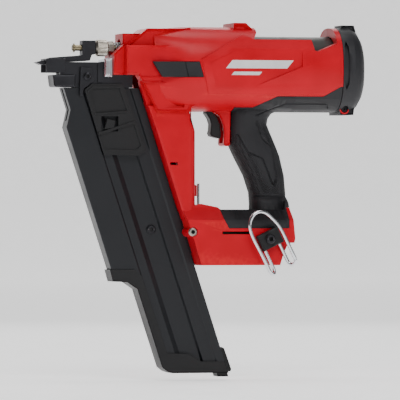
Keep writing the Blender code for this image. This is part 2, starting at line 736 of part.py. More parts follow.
def trigger():
    outline = [
        (-61.5, 56.5), (-62.4, 48.5), (-58.6, 43.0), (-56.8, 37.3), (-57.2, 31.0), (-58.1, 27.6),
        (-56.6, 24.6), (-47.8, 22.3), (-46.6, 23.5), (-46.4, 29.0), (-47.6, 36.5), (-50.5, 43.5),
        (-54.0, 48.0), (-54.0, 56.5)]
    made = soft_prism("trigger", outline, 7.0, 1.2, 1)
    cut(made, pin_tool("bore", TRIGGER_PIVOT, 2.2, (-20, 20)))
    pivot = (TRIGGER_PIVOT[0], 0, TRIGGER_PIVOT[1])
    dress(made, "black", pivot=pivot)
    dress(pin_tool("trigger_pin", TRIGGER_PIVOT, 1.9, (-11.0, 11.0)), "steel")
    dress(wire("trigger_spring", helix((-45.4, 0, 43.5), 2.6, 1.7, 4.5), 0.45, 4), "steel")


# ---------------------------------------------------------------- nose and contact arm

def nose():
    made = box("nosepiece", (NOSE_FRONT, NOSE_REAR), (-NOSE_HALF, NOSE_HALF), (88.2, 101.1))
    join(made, box("cheeks", (-203.5, -142.5), (-NOSE_HALF, NOSE_HALF), (MAG_TOP + GAP, 90.0)))
    join(made, box("bracket", (-180.0, -175.0), (-12.2, 12.2), (80.0, 101.1)))
    cut(made, box("channel", (-240, -120), (-4.5, 4.5), (90.0, 99.2)),
        box("nail_slot", (-240, -120), (-2.6, 2.6), (60, 91)),
        box("head_slot", (-151, -138), (-HEAD_HALF, HEAD_HALF), (60, 91)))
    dress(made, "dark_steel")
    cover = soft_prism("nose_cover", [
        (-228.0, 87.8), (-226.6, 76.6), (-225.2, 75.2), (-204.0, 75.2), (-204.0, 87.8)],
        13.0, 1.2, 1)
    cut(cover, box("nail_slot", (-222, -190), (-2.8, 2.8), (60, 95)))
    dress(cover, "steel")
    collar = soft_prism("front_collar", [
        (-173.4, 86.0), (-173.4, 103.9), (-171.9, 105.4), (-164.9, 105.4), (-164.9, 86.0)],
        14.0, 2.0, 1)
    cut(collar, box("opening", (-180, -160), (-11.4, 11.4), (80, 101.5)))
    dress(collar, "silver")
    lug = [(-198.7, 95.8), (-187.2, 94.7), (-184.0, 82.0), (-187.5, 79.8), (-195.6, 73.2),
           (-196.2, 66.0), (-200.0, 66.0)]
    dress(prism("magazine_lug", lug, -14.6, -11.35), "dark_steel")
    screw("lug_screw", (-191.6, -17.4, 86.2), 3.8, 2.5, "black")


def contact_arm():
    arm = prism("contact_foot", [
        (-237.0, 102.0), (-229.6, 105.7), (-197.0, 108.2), (-195.0, 109.2), (-195.0, 123.7),
        (-181.0, 123.7), (-181.0, 109.7), (-185.0, 108.7), (-187.0, 102.8), (-206.4, 101.6),
        (-234.0, 101.6)], -6.8, 6.8)
    wrap = box("wrap", (-235.0, -214.3), (-13.4, 13.4), (90.3, 104.6))
    cut(wrap, box("inside", (-240, -210), (-11.35, 11.35), (80, 101.55)))
    tip = prism("tip", [(-244.2, 100.8), (-239.0, 98.4), (-232.6, 98.2), (-232.6, 103.5),
                        (-239.5, 102.2)], -7.5, 7.5)
    join(arm, wrap, tip)
    cut(arm, turned("bore", [(-200, ROD_RADIUS + 0.4), (-170, ROD_RADIUS + 0.4)], (0, 0, ROD_Z)))
    dress(arm, "dark_steel")
    r = ROD_RADIUS
    dress(turned("contact_rod", [
        (-204.7, 2.4), (-204.0, r), (-203.2, r), (-203.2, 4.8), (-202.2, 4.8), (-202.2, r),
        (-131.0, r), (-130.0, 2.4)], (0, 0, ROD_Z), count=16), "brass")
    bore = r + 0.4
    dress(revolved("depth_wheel", [
        (-180.6, bore), (-180.6, 6.3), (-178.4, 8.7), (-168.4, 8.7), (-167.4, 7.9), (-167.4, 7.2),
        (-160.5, 7.2), (-160.5, bore)], (0, 0, ROD_Z), count=20), "nickel", pivot=(0, 0, ROD_Z))
    dress(wire("contact_spring", helix((-159.2, 0, ROD_Z), 5.6, 1.75, 4.2), 0.55, 4), "steel")


# ---------------------------------------------------------------- magazine

MAG_OUTLINE = [
    (-215.9, MAG_TOP), (-208.7, 51.6), (-212.9, 33.2), (-164.2, -118.5), (-143.6, -118.5),
    (-136.8, -124.6), (-109.2, -205.6), (-84.6, -206.5), (-70.6, -214.5), (-30.0, -214.5),
    (-100.0, MAG_TOP),
]
CAP_WINDOW = [
    (-260.0, -114.2), (-141.2, -114.2), (-132.8, -120.8), (-105.2, -201.8), (-83.0, -202.5),
    (-69.1, -210.5), (-20.0, -210.5), (-20.0, 0.0), (-260.0, 0.0),
]


def magazine():
    side = [(-202.4, -10.4), (-201.8, -11.0), (-173.1, -11.0), (-171.5, -9.6), (-162.4, -9.6),
            (-156.8, -6.4), (-136.4, -6.4), (-134.5, -9.4), (-121.5, -9.4), (-120.0, -11.0),
            (MAG_REAR, -11.0)]
    section = side + [(x, -y) for x, y in reversed(side)]
    made = leaning("magazine_body", section, -240, 90)
    keep(made, prism("outline", MAG_OUTLINE, -20, 20))
    cut(made, leaning("channel", rectangle(-198.2, -116.4, CHANNEL_HALF), -260, 100),
        leaning("heads", rectangle(-128.0, -116.4, HEAD_HALF), -260, 100),
        pin_tool("bolt_notch", FOOT_BOLT, 3.7, (-20, 20)),
        leaning("pusher_slot", [(-151.4, 0.0), (-144.6, 0.0), (-144.6, 15.0), (-151.4, 15.0)],
                -192, 67))
    dress(made, "anodised")
    cap = soft_prism("magazine_end_cap", [
        (-167.2, -114.4), (-163.8, -126.8), (-148.5, -127.5), (-137.6, -134.8), (-111.0, -216.5),
        (-105.8, -220.6), (-100.2, -222.6), (rear_plane(-222.6), -222.6),
        (rear_plane(-114.4), -114.4)], 12.5, 1.0, 1)
    join(cap, soft_prism("cap_toe", [
        (-52.0, -221.0), (-50.3, -226.6), (-38.9, -226.6), (-40.4, -221.0)], 9.0, 1.0, 1))
    pocket = keep(leaning("pocket", rectangle(-210.0, -100.0, 11.35), -240, 0),
                  prism("pocket_outline", inset(MAG_OUTLINE, -0.35), -20, 20))
    cut(cap, pocket, prism("window", CAP_WINDOW, -20, 20),
        box("loading_mouth", (-100, -57), (-2.7, 2.7), (-230, -205)),
        box("heads", (-61, -51), (-4.8, 4.8), (-230, -205)))
    dress(cap, "black")
    panel = prism("loading_panel", [
        (-194.3, 72.2), (-186.7, 78.4), (-153.6, 78.9), (-128.6, 9.6), (-136.5, 4.1),
        (-173.8, 4.8)], -14.0, -11.3)
    cut(panel, box("window", (-176.5, -158.5), (-20, 0), (29.5, 45.0)))
    dress(panel, "black")
    stop = prism("nail_stop", [(-173.5, 31.5), (-163.0, 33.0), (-161.5, 40.5), (-170.5, 42.5)],
                 -14.8, -11.3)
    dress(stop, "black", pivot=(NAIL_STOP_PIVOT[0], 0, NAIL_STOP_PIVOT[1]))
    screw("magazine_screw", (-121.7, -8.6, -72.6), 4.7, 1.9, "dark_steel")
    bracket = leaning("magazine_bracket", rectangle(-111.4, -103.0, 12.0), -97, -54)
    cut(bracket, pin_tool("bore", FOOT_BOLT, 3.7, (-20, 20)))
    dress(bracket, "black")
    latch = soft_prism("loading_latch", [
        (rear_plane(-199, 0.5), -199.0), (-45.4, -195.6), (-42.6, -197.0), (-34.8, -219.0),
        (-35.6, -221.4), (rear_plane(-221.4, 0.5), -221.4)], 6.0, 0.8, 1)
    dress(latch, "black", pivot=(LATCH_PIVOT[0], 0, LATCH_PIVOT[1]))
    pusher()


def pusher():
    made = leaning("pusher", rectangle(-172.0, -118.2, 2.1), -196, -168)
    neck = [(-150.8, 0.0), (-145.2, 0.0), (-145.2, 12.5), (-150.8, 12.5)]
    join(made, leaning("neck", neck, -189, -175))
    knob = [(-160.0, 11.5), (-139.0, 11.5), (-142.0, 19.0), (-157.0, 19.0)]
    join(made, leaning("knob", knob, -194, -170))
    roll = (-126.0 + LEAN * 182.0, -182.0)
    cut(made, pin_tool("roll_room", roll, 6.4, (-5, 5), 16))
    dress(made, "steel")
    dress(tube("pusher_spring", (-1.9, 1.9), 2.5, 6.0, (roll[0], 0, roll[1]), "Y", 16), "steel")


# ---------------------------------------------------------------- hook, bolt and key

def on_hook(across, down, y):
    """A point in the hook's own tilted plane."""
    c, s = math.cos(HOOK_TILT), math.sin(HOOK_TILT)
    return (HOOK_PIVOT[0] + across * c + down * s, y, HOOK_PIVOT[1] + across * s - down * c)


def hook():
    corners = [(-12.0, -8.5), (12.5, -8.5), (12.5, 8.8), (-12.0, 8.8)]
    outline = [(on_hook(a, d, 0)[0], on_hook(a, d, 0)[2]) for a, d in corners]
    bracket = soft_prism("hook_bracket", outline, 3.5, 1.0, 1)
    bracket.data.transform(Matrix.Translation(Vector((0, -43.0, 0)) * MM))
    cut(bracket, pin_tool("bore", HOOK_PIVOT, 3.2, (-50, -30)))
    pivot = (HOOK_PIVOT[0], -43.0, HOOK_PIVOT[1])
    dress(bracket, "black", pivot=pivot)
    near, far, ends = -43.0, -51.0, 29.0
    left, right = (-9.5, -16.2), (7.5, 14.0)

    def turn_back(inner, outer, steps=5):
        points = []
        for k in range(steps + 1):
            a = math.pi * k / steps
            share = (1 - math.cos(a)) / 2
            points.append(on_hook(inner + (outer - inner) * share, ends + 5.2 * math.sin(a),
                                  near + (far - near) * share))
        return points

    path = [on_hook(left[0], 9.2, near), on_hook(left[0], 20.0, near)]
    path += turn_back(*left)
    path += [on_hook(left[1], 5.0, far), on_hook(-17.2, -10.0, far), on_hook(-16.2, -19.0, far),
             on_hook(-13.0, -26.0, far), on_hook(-7.5, -30.4, far), on_hook(-1.5, -31.6, far),
             on_hook(4.0, -29.4, far), on_hook(8.0, -24.0, far), on_hook(12.4, -12.0, far),
             on_hook(13.8, -3.0, far), on_hook(14.0, 10.0, far)]
    path += list(reversed(turn_back(*right)))
    path += [on_hook(right[0], 20.0, near), on_hook(right[0], 9.2, near)]
    dress(wire("hook_wire", path, 1.85, 8), "chrome", pivot=pivot)
    made = turned("hook_screw", [
        (-50.0, 4.2), (-49.4, 4.9), (-46.9, 4.9), (-46.9, 2.9), (-34.0, 2.9)],
        (HOOK_PIVOT[0], 0, HOOK_PIVOT[1]), "Y", 16)
    cut(made, prism("socket", circle(2.3, 6, HOOK_PIVOT), -55, -47.6))
    dress(made, "dark_steel")


def foot_bolt():
    made = turned("foot_bolt", [
        (-39.4, 3.9), (-38.9, 4.5), (-35.6, 4.5), (-35.6, 3.3), (38.8, 3.3)],
        (FOOT_BOLT[0], 0, FOOT_BOLT[1]), "Y", 16)
    cut(made, prism("socket", circle(2.2, 6, FOOT_BOLT), -45, -37.2))
    dress(made, "brass")


def hex_key():
    dress(solid("hex_key", [
        [(-69.0 + a, b, z) for a, b in circle(1.45, 6)] for z in (-58.5, -24.8)]), "chrome")


def main():
    clear_scene()
    shells()
    grips()
    rear_cap()
    pads()
    shell_screws()
    drive_line()
    lifter()
    motor()
    electrics()
    trigger()
    nose()
    contact_arm()
    magazine()
    hook()
    foot_bolt()
    hex_key()


main()
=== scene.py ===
# %% [markdown]
# # A cordless framing nailer
#
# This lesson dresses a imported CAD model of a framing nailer: a red moulded shell, a soft
# rubber grip, a blackened steel nose, a dark extruded magazine and a chrome belt hook.
# The CAD pieces give every place and size, and nothing here moves them. A piece whose
# shape is right stays and gets a better finish. A piece that needs round edges, knurls
# or coils is made again in the same place and stands for the CAD one.

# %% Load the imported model
import json
import math

import bmesh
import bpy
from mathutils import Matrix, Vector


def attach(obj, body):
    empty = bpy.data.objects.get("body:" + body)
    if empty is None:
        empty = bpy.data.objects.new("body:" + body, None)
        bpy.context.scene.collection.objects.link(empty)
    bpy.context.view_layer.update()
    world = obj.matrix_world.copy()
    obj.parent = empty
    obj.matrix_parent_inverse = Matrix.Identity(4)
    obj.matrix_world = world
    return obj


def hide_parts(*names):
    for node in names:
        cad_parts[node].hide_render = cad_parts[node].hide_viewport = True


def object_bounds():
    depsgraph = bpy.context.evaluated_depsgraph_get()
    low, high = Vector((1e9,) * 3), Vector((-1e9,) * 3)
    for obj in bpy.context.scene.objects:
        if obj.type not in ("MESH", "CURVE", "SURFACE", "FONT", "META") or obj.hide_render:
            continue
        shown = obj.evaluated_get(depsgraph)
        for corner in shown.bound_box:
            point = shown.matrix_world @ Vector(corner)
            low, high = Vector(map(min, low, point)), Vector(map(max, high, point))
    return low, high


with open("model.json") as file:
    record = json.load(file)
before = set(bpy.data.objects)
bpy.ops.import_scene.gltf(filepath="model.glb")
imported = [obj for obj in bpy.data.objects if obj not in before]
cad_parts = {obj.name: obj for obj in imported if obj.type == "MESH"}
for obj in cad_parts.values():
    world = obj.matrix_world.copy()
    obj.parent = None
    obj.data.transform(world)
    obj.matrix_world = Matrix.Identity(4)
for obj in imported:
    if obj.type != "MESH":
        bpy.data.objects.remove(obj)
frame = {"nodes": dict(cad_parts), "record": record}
CAD_BOX = [list(corner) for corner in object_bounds()]
MM = 0.001

# %% [markdown]
# ## Camera
#
# The tool is seen from its left, turned a little so that the nose comes towards the
# viewer, from its own height and from five metres off. A long lens keeps the magazine's
# edges nearly parallel. The camera looks level, so nothing leans.

# %% Camera
TURN = math.radians(-14.5)
DISTANCE = 5.0
VIEW_WIDTH = 0.420
AIM = Vector((-0.0630, 0.0163, -0.0420))

away = Vector((math.sin(-TURN), math.cos(TURN), 0.0))
camera_data = bpy.data.cameras.new("camera")
camera_data.sensor_width = 36.0
camera_data.lens = 36.0 * DISTANCE / VIEW_WIDTH
camera_data.clip_start = 0.05
camera = bpy.data.objects.new("camera", camera_data)
camera.location = AIM - away * DISTANCE
camera.rotation_euler = (math.radians(90), 0, TURN)
bpy.context.scene.collection.objects.link(camera)
bpy.context.scene.camera = camera
print("lens:", round(camera_data.lens, 1), "mm")

# %% [markdown]
# ## Studio
#
# Product light is broad and soft. One large panel hangs over the near side, a second
# fills from the front, a third lights the far side for the other views, and a pale
# floor that curves up into a wall throws light back from below.

# %% Floor and backdrop
FLOOR_Z = CAD_BOX[0][2] - 0.004


def sweep_floor(half_width, front, back, rise, bend):
    """A floor that curves up into a wall behind the tool."""
    bpy.ops.object.select_all(action="DESELECT")
    bpy.ops.mesh.primitive_plane_add(size=1.0, location=(0, 0, 0))
    floor = bpy.context.object
    floor.name = "studio_floor"
    profile = [(front, 0.0), (back, 0.0)]
    for k in range(1, 9):
        angle = math.radians(90) * k / 8
        profile.append((back + bend * math.sin(angle), bend * (1 - math.cos(angle))))
    profile.append((back + bend, rise))
    bm = bmesh.new()
    for (y0, z0), (y1, z1) in zip(profile, profile[1:]):
        corners = [(-half_width, y0, z0), (half_width, y0, z0), (half_width, y1, z1),
                   (-half_width, y1, z1)]
        bm.faces.new([bm.verts.new(c) for c in corners])
    bmesh.ops.remove_doubles(bm, verts=bm.verts, dist=1e-6)
    bm.to_mesh(floor.data)
    bm.free()
    floor.data.transform(Matrix.Translation((0, 0, FLOOR_Z)))
    floor.data.shade_smooth()
    return floor


floor = sweep_floor(9.0, -9.0, 6.0, 9.0, 2.5)
print("floor at", round(FLOOR_Z, 4))

# %% Lights


def panel_light(name, place, aim, size, power):
    """A square soft box that looks at a point."""
    data = bpy.data.lights.new(name, "AREA")
    data.shape = "SQUARE"
    data.size = size
    data.energy = power
    lamp = bpy.data.objects.new(name, data)
    lamp.location = place
    lamp.rotation_euler = (Vector(aim) - Vector(place)).to_track_quat("-Z", "Y").to_euler()
    bpy.context.scene.collection.objects.link(lamp)
    return lamp


panel_light("key", (-0.35, -1.7, 1.5), (0, 0, 0), 1.0, 24.0)
panel_light("front_fill", (1.6, -1.7, 0.3), (0, 0, -0.05), 1.2, 3.0)
panel_light("top", (0.1, 0.1, 1.9), (0, 0, 0), 1.0, 15.0)
panel_light("far_side", (0.4, 1.9, 0.9), (0, 0, 0), 1.2, 7.0)
world = bpy.data.worlds.new("studio")
world.use_nodes = True
world.node_tree.nodes["Background"].inputs["Color"].default_value = (1, 1, 1, 1)
world.node_tree.nodes["Background"].inputs["Strength"].default_value = 0.12
bpy.context.scene.world = world

# %% [markdown]
# ## Finishes
#
# Each finish is a small node tree round one Principled shader. Noise at two scales,
# read from Object coordinates in metres, drives roughness and bump, so a finish has
# the same grain on every piece. Edges that hands and wood rub get a paler or brighter
# tone from the Geometry node's pointiness.

# %% Node helpers


def finish(name, colour, roughness, metallic=0.0, coat=0.0):
    """A material with one Principled shader; returns it with its tree and shader."""
    print("finish:", name)
    material = bpy.data.materials.new(name)
    material.use_nodes = True
    tree = material.node_tree
    shader = tree.nodes["Principled BSDF"]
    shader.inputs["Base Color"].default_value = (*colour, 1.0)
    shader.inputs["Roughness"].default_value = roughness
    shader.inputs["Metallic"].default_value = metallic
    shader.inputs["Coat Weight"].default_value = coat
    shader.inputs["Coat Roughness"].default_value = 0.2
    return material, tree, shader


def object_space(tree, scale=(1.0, 1.0, 1.0), turn=(0.0, 0.0, 0.0)):
    """Object coordinates through a Mapping node."""
    place = tree.nodes.new("ShaderNodeTexCoord")
    mapping = tree.nodes.new("ShaderNodeMapping")
    mapping.inputs["Scale"].default_value = scale
    mapping.inputs["Rotation"].default_value = turn
    tree.links.new(place.outputs["Object"], mapping.inputs["Vector"])
    return mapping.outputs["Vector"]


def noise(tree, vector, scale, detail=3.0, roughness=0.5):
    node = tree.nodes.new("ShaderNodeTexNoise")
    node.inputs["Scale"].default_value = scale
    node.inputs["Detail"].default_value = detail
    node.inputs["Roughness"].default_value = roughness
    tree.links.new(vector, node.inputs["Vector"])
    return node.outputs["Fac"]


def spread(tree, value, low, high, to_low, to_high):
    """Maps a value from one range to another, clamped."""
    node = tree.nodes.new("ShaderNodeMapRange")
    for socket, number in zip(("From Min", "From Max", "To Min", "To Max"),
                              (low, high, to_low, to_high)):
        node.inputs[socket].default_value = number
    tree.links.new(value, node.inputs["Value"])
    return node.outputs["Result"]


def bump(tree, shader, height, depth, before=None):
    """Adds a bump of a given depth in metres; chains after an earlier one."""
    node = tree.nodes.new("ShaderNodeBump")
    node.inputs["Strength"].default_value = 1.0
    node.inputs["Distance"].default_value = depth
    tree.links.new(height, node.inputs["Height"])
    if before is not None:
        tree.links.new(before, node.inputs["Normal"])
    tree.links.new(node.outputs["Normal"], shader.inputs["Normal"])
    return node.outputs["Normal"]


def tone(tree, factor, first, second, target):
    """Mixes two colours by a factor into a colour socket."""
    node = tree.nodes.new("ShaderNodeMix")
    node.data_type = "RGBA"
    node.inputs[6].default_value = (*first, 1.0)
    node.inputs[7].default_value = (*second, 1.0)
    tree.links.new(factor, node.inputs[0])
    if target is not None:
        tree.links.new(node.outputs[2], target)
    return node


def edge_mask(tree, low=0.56, high=0.68):
    """White on worn convex edges."""
    geometry = tree.nodes.new("ShaderNodeNewGeometry")
    return spread(tree, geometry.outputs["Pointiness"], low, high, 0.0, 1.0)


def multiply(tree, first, second):
    node = tree.nodes.new("ShaderNodeMath")
    node.operation = "MULTIPLY"
    tree.links.new(first, node.inputs[0])
    if isinstance(second, float):
        node.inputs[1].default_value = second
    else:
        tree.links.new(second, node.inputs[1])
    return node.outputs[0]


print("node helpers ready")

# %% [markdown]
# ### Moulded red nylon
#
# The shell is glass-filled nylon from a fine spark-eroded mould: a satin skin with a
# grain of about a third of a millimetre, slightly uneven gloss and edges gone paler.

# %% Red shell finish


def red_nylon():
    material, tree, shader = finish("red_nylon", (0.56, 0.0, 0.012), 0.36)
    shader.inputs["Specular IOR Level"].default_value = 0.2
    space = object_space(tree)
    cloud = noise(tree, space, 28.0, 4.0)
    grain = noise(tree, space, 2600.0, 2.0)
    worn = multiply(tree, edge_mask(tree), noise(tree, space, 240.0, 5.0))
    mottled = tone(tree, spread(tree, cloud, 0.35, 0.7, 0.0, 1.0),
                   (0.52, 0.0, 0.010), (0.60, 0.0, 0.014), None)
    final = tone(tree, spread(tree, worn, 0.3, 0.7, 0.0, 0.5),
                 (0.56, 0.0, 0.012), (0.74, 0.03, 0.03), shader.inputs["Base Color"])
    tree.links.new(mottled.outputs[2], final.inputs[6])
    tree.links.new(spread(tree, cloud, 0.3, 0.7, 0.3, 0.42), shader.inputs["Roughness"])
    bump(tree, shader, grain, 0.00003)
    return material


RED = red_nylon()

# %% [markdown]
# ### Soft rubber
#
# The grip is a black elastomer moulded over the shell. Two bands of it carry a field
# of small raised dots that stop a glove sliding, and the rest is matt and plain. The
# dots are a Voronoi bump in a second material, which some of the grip's faces get.

# %% Rubber finishes


def rubber(name, dots):
    material, tree, shader = finish(name, (0.017, 0.017, 0.019), 0.62)
    space = object_space(tree)
    cloud = noise(tree, space, 40.0, 4.0)
    tone(tree, spread(tree, cloud, 0.35, 0.7, 0.0, 1.0), (0.014, 0.014, 0.016),
         (0.021, 0.021, 0.024), shader.inputs["Base Color"])
    shader.inputs["Specular IOR Level"].default_value = 0.3
    tree.links.new(spread(tree, cloud, 0.3, 0.7, 0.5, 0.64), shader.inputs["Roughness"])
    first = bump(tree, shader, noise(tree, space, 3200.0, 2.0), 0.00004)
    if dots:
        cells = tree.nodes.new("ShaderNodeTexVoronoi")
        cells.inputs["Scale"].default_value = 540.0
        cells.inputs["Randomness"].default_value = 0.15
        tree.links.new(object_space(tree, turn=(0.0, 0.6, 0.0)), cells.inputs["Vector"])
        bump(tree, shader, spread(tree, cells.outputs["Distance"], 0.15, 0.5, 1.0, 0.0),
             0.0007, first)
    return material


RUBBER = rubber("soft_rubber", False)
RUBBER_DOTS = rubber("soft_rubber_dotted", True)

# %% [markdown]
# ### Black nylon
#
# The cap, the loading panel and the magazine's end cap are black glass-filled nylon.
# It shows a coarser grain than the red, a grey cast and paler rubbed edges.

# %% Black nylon finish


def black_nylon(name, colour, low, high):
    material, tree, shader = finish(name, colour, low)
    space = object_space(tree)
    cloud = noise(tree, space, 35.0, 4.0)
    shader.inputs["Specular IOR Level"].default_value = 0.35
    worn = multiply(tree, edge_mask(tree), noise(tree, space, 300.0, 5.0))
    lighter = tuple(channel * 2.0 + 0.004 for channel in colour)
    tone(tree, spread(tree, worn, 0.25, 0.7, 0.0, 0.8), colour, lighter,
         shader.inputs["Base Color"])
    tree.links.new(spread(tree, cloud, 0.3, 0.7, low, high), shader.inputs["Roughness"])
    bump(tree, shader, noise(tree, space, 1900.0, 3.0), 0.00005)
    return material


BLACK = black_nylon("black_nylon", (0.009, 0.009, 0.010), 0.42, 0.56)
CAP_BLACK = black_nylon("cap_nylon", (0.018, 0.018, 0.021), 0.45, 0.58)

# %% [markdown]
# ### Anodised extrusion
#
# The magazine is drawn through a die and then anodised near black, so faint lines run
# its whole length. A noise squeezed along the drawing direction makes them.

# %% Anodised finish
LEAN_ANGLE = math.atan(0.325)


def anodised():
    material, tree, shader = finish("dark_anodised", (0.013, 0.014, 0.017), 0.4, 0.3)
    along = object_space(tree, scale=(1.0, 1.0, 0.012), turn=(0.0, -LEAN_ANGLE, 0.0))
    lines = noise(tree, along, 1500.0, 3.0)
    space = object_space(tree)
    cloud = noise(tree, space, 22.0, 4.0)
    worn = multiply(tree, edge_mask(tree), noise(tree, space, 200.0, 5.0))
    tone(tree, spread(tree, worn, 0.3, 0.7, 0.0, 0.7), (0.013, 0.014, 0.017),
         (0.11, 0.115, 0.125), shader.inputs["Base Color"])
    tree.links.new(spread(tree, cloud, 0.3, 0.7, 0.36, 0.46), shader.inputs["Roughness"])
    bump(tree, shader, lines, 0.00002)
    return material


ANODISED = anodised()

# %% [markdown]
# ### Metals
#
# Blackened steel, machined steel, nickel, cast aluminium, chrome and yellow zinc differ
# in colour, gloss and in how the tool that cut them left its lines. One function makes
# them all from those numbers.

# %% Metal finishes


def metal(name, colour, rough_low, rough_high, grain, depth, stretch=(1.0, 1.0, 1.0),
          worn_colour=None):
    material, tree, shader = finish(name, colour, rough_low, 1.0)
    space = object_space(tree, scale=stretch)
    cloud = noise(tree, object_space(tree), 60.0, 4.0)
    tree.links.new(spread(tree, cloud, 0.3, 0.7, rough_low, rough_high),
                   shader.inputs["Roughness"])
    if worn_colour:
        worn = multiply(tree, edge_mask(tree), noise(tree, object_space(tree), 260.0, 5.0))
        tone(tree, spread(tree, worn, 0.2, 0.6, 0.0, 1.0), colour, worn_colour,
             shader.inputs["Base Color"])
    else:
        darker = tuple(channel * 0.82 for channel in colour)
        tone(tree, spread(tree, cloud, 0.35, 0.65, 0.0, 1.0), darker, colour,
             shader.inputs["Base Color"])
    bump(tree, shader, noise(tree, space, grain, 3.0), depth)
    return material


STEEL = metal("machined_steel", (0.42, 0.42, 0.43), 0.28, 0.42, 1800.0, 0.00001,
              (1.0, 0.05, 1.0))
DARK_STEEL = metal("blackened_steel", (0.045, 0.045, 0.050), 0.36, 0.5, 900.0, 0.00003,
                   worn_colour=(0.15, 0.15, 0.15))
NICKEL = metal("worn_nickel", (0.50, 0.46, 0.40), 0.24, 0.38, 1200.0, 0.00001,
               (0.08, 1.0, 1.0))
SILVER = metal("cast_collar", (0.74, 0.76, 0.79), 0.26, 0.4, 700.0, 0.00003)
CHROME = metal("chrome_wire", (0.82, 0.84, 0.87), 0.06, 0.14, 400.0, 0.000004)
BRASS = metal("yellow_zinc", (0.30, 0.25, 0.16), 0.26, 0.4, 1100.0, 0.00001)
COPPER = metal("winding_copper", (0.62, 0.26, 0.12), 0.3, 0.45, 900.0, 0.00006,
               (0.1, 1.0, 0.1))
GREY_CAN = metal("grey_can", (0.10, 0.10, 0.095), 0.42, 0.54, 1600.0, 0.00002,
                 (0.06, 1.0, 1.0))

# %% [markdown]
# ### Small finishes
#
# The printed board, the amber stop and the pale studio floor are plain plastics with a
# little grain.

# %% Board, stop and floor finishes


def plain_plastic(name, colour, low, high, grain):
    material, tree, shader = finish(name, colour, low)
    space = object_space(tree)
    cloud = noise(tree, space, 50.0, 4.0)
    darker = tuple(channel * 0.85 for channel in colour)
    tone(tree, spread(tree, cloud, 0.35, 0.65, 0.0, 1.0), darker, colour,
         shader.inputs["Base Color"])
    tree.links.new(spread(tree, cloud, 0.3, 0.7, low, high), shader.inputs["Roughness"])
    bump(tree, shader, noise(tree, space, grain, 2.0), 0.00003)
    return material


BOARD = plain_plastic("board_laminate", (0.02, 0.13, 0.05), 0.35, 0.5, 900.0)
AMBER = plain_plastic("amber_stop", (0.55, 0.30, 0.04), 0.4, 0.5, 1200.0)
PRINT = plain_plastic("white_print", (0.80, 0.80, 0.80), 0.4, 0.5, 1500.0)
PALE = plain_plastic("studio_pale", (0.93, 0.93, 0.93), 0.85, 0.95, 3.0)
PALE_SHADER = PALE.node_tree.nodes["Principled BSDF"]
PALE_SHADER.inputs["Emission Color"].default_value = (1.0, 1.0, 1.0, 1.0)
PALE_SHADER.inputs["Emission Strength"].default_value = 0.9
floor.data.materials.append(PALE)
print("finishes:", len(bpy.data.materials))

# %% [markdown]
# ## Working on pieces
#
# A finished piece rides on the CAD body of the node that it stands for. CAD meshes
# arrive as loose triangles, so a copy is merged and its flat areas are joined before its
# edges are rounded.

# %% Selection and hand-over helpers
BODY_OF = {node: body for body, nodes in frame["record"]["behaviour"]["bodies"].items()
           for node in nodes}
SEAM = 0.5 * MM


def only(piece):
    bpy.ops.object.select_all(action="DESELECT")
    piece.select_set(True)
    bpy.context.view_layer.objects.active = piece
    return piece


def apply_all(piece):
    only(piece)
    for modifier in list(piece.modifiers):
        bpy.ops.object.modifier_apply(modifier=modifier.name)
    return piece


def hand_over(piece, material, node, replaced=True):
    """Gives a piece its finish and the CAD node's body; hides the node when replaced."""
    if material is not None:
        piece.data.materials.clear()
        piece.data.materials.append(material)
    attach(piece, BODY_OF[node])
    if replaced:
        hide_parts(node)
    print(piece.name, len(piece.data.polygons), "faces")
    return piece


def copy_of(node, name):
    """A merged copy of a CAD node's mesh with its flat areas joined."""
    piece = bpy.data.objects.new(name, frame["nodes"][node].data.copy())
    bpy.context.scene.collection.objects.link(piece)
    only(piece)
    bpy.ops.object.mode_set(mode="EDIT")
    bpy.ops.mesh.select_all(action="SELECT")
    bpy.ops.mesh.remove_doubles(threshold=0.00001)
    bpy.ops.mesh.dissolve_limited(angle_limit=math.radians(0.6))
    bpy.ops.object.mode_set(mode="OBJECT")
    return piece


def round_edges(piece, width, segments=2, angle=32.0, smooth=40.0):
    """Bevels edges sharper than an angle, but not those of the mid-plane's seam."""
    shape = bmesh.new()
    shape.from_mesh(piece.data)
    layer = shape.edges.layers.float.new("bevel_weight_edge")
    for edge in shape.edges:
        sharp = len(edge.link_faces) == 2 and edge.calc_face_angle() > math.radians(angle)
        seam = all(abs(vertex.co.y) < SEAM for vertex in edge.verts)
        edge[layer] = float(sharp and not seam)
    shape.to_mesh(piece.data)
    shape.free()
    bevel = piece.modifiers.new("edges", "BEVEL")
    bevel.width = width
    bevel.segments = segments
    bevel.limit_method = "WEIGHT"
    bevel.miter_outer = "MITER_ARC"
    apply_all(piece)
    bpy.ops.object.shade_smooth_by_angle(angle=math.radians(smooth))
    weights = piece.modifiers.new("weights", "WEIGHTED_NORMAL")
    weights.keep_sharp = True
    return apply_all(piece)


def carve(piece, operation, *tools):
    """Joins tools to a piece, or cuts them from it, and removes them."""
    for tool in tools:
        modifier = piece.modifiers.new(operation.lower(), "BOOLEAN")
        modifier.operation = operation
        modifier.object = tool
        modifier.solver = "EXACT"
        apply_all(piece)
        bpy.data.objects.remove(tool, do_unlink=True)
    return piece


def paint_recess_shade(piece, material, centre, reach):
    """Paints shade into a recess round an axis along Y: its faces get a second, darker material.
    """
    piece.data.materials.append(material)
    for face in piece.data.polygons:
        spot = face.center / MM
        away = math.hypot(spot.x - centre[0], spot.z - centre[2])
        if away < reach and abs(spot.y - centre[1]) > 0.1:
            face.material_index = 1
    return piece


def refine(node, name, material, width, angle=32.0):
    """A rounded copy of a CAD node that stands for it."""
    return hand_over(round_edges(copy_of(node, name), width, angle=angle), material, node)


print("bodies known:", len(set(BODY_OF.values())))

